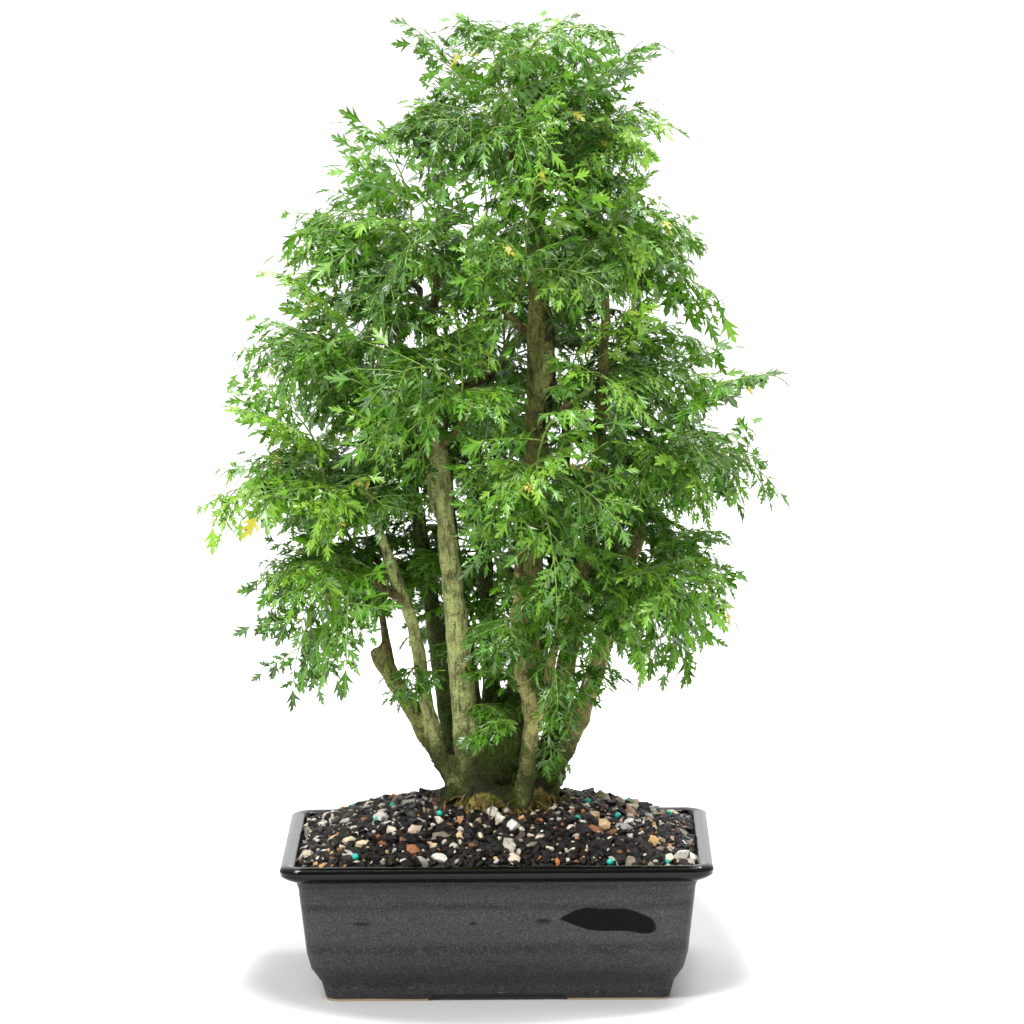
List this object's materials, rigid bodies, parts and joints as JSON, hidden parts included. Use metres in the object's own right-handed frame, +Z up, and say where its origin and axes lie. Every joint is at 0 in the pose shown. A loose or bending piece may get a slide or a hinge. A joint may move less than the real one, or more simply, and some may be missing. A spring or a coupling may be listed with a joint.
{
  "type": "potted bonsai tree",
  "caption": "Bushy multi-stem indoor tree with finely cut, drooping fronds, standing in a low rectangular footed glazed pot filled with gritty mix.",
  "frame": {"origin": "under the middle of the pot, on the surface it stands on", "axes": "+Z up along the stems, -Y towards the front long side of the pot, +X to the right seen from the front"},
  "size_m": [0.269, 0.2407, 0.4583],
  "materials": {
    "glaze": "dark charcoal gloss glaze, bare brown clay under the feet",
    "mesh": "black plastic mesh",
    "mix": "dark damp compost with coarse tan, grey and white grit",
    "bark": "pale olive to grey-brown corky bark with moss",
    "leaf": "glossy fresh green leaflets with paler ribs"
  },
  "bodies": {
    "root": {"pot": "glaze", "drain_screen_left": "mesh", "drain_screen_right": "mesh", "growing_mix": "mix", "stem_clump": "bark", "leaf_spray_1_1": "leaf", "leaf_spray_1_2": "leaf", "leaf_spray_1_3": "leaf", "leaf_spray_1_4": "leaf", "leaf_spray_1_5": "leaf", "leaf_spray_2_1": "leaf", "leaf_spray_2_2": "leaf", "leaf_spray_2_3": "leaf", "leaf_spray_2_4": "leaf", "leaf_spray_2_5": "leaf", "leaf_spray_2_6": "leaf", "leaf_spray_3_1": "leaf", "leaf_spray_3_2": "leaf", "leaf_spray_3_3": "leaf", "leaf_spray_3_4": "leaf", "leaf_spray_3_5": "leaf", "leaf_spray_3_6": "leaf", "leaf_spray_4_1": "leaf", "leaf_spray_4_2": "leaf", "leaf_spray_4_3": "leaf", "leaf_spray_4_4": "leaf", "leaf_spray_4_5": "leaf", "leaf_spray_4_6": "leaf", "leaf_spray_5_1": "leaf", "leaf_spray_5_2": "leaf", "leaf_spray_5_3": "leaf", "leaf_spray_5_4": "leaf", "leaf_spray_top": "leaf"}
  },
  "joints": []
}
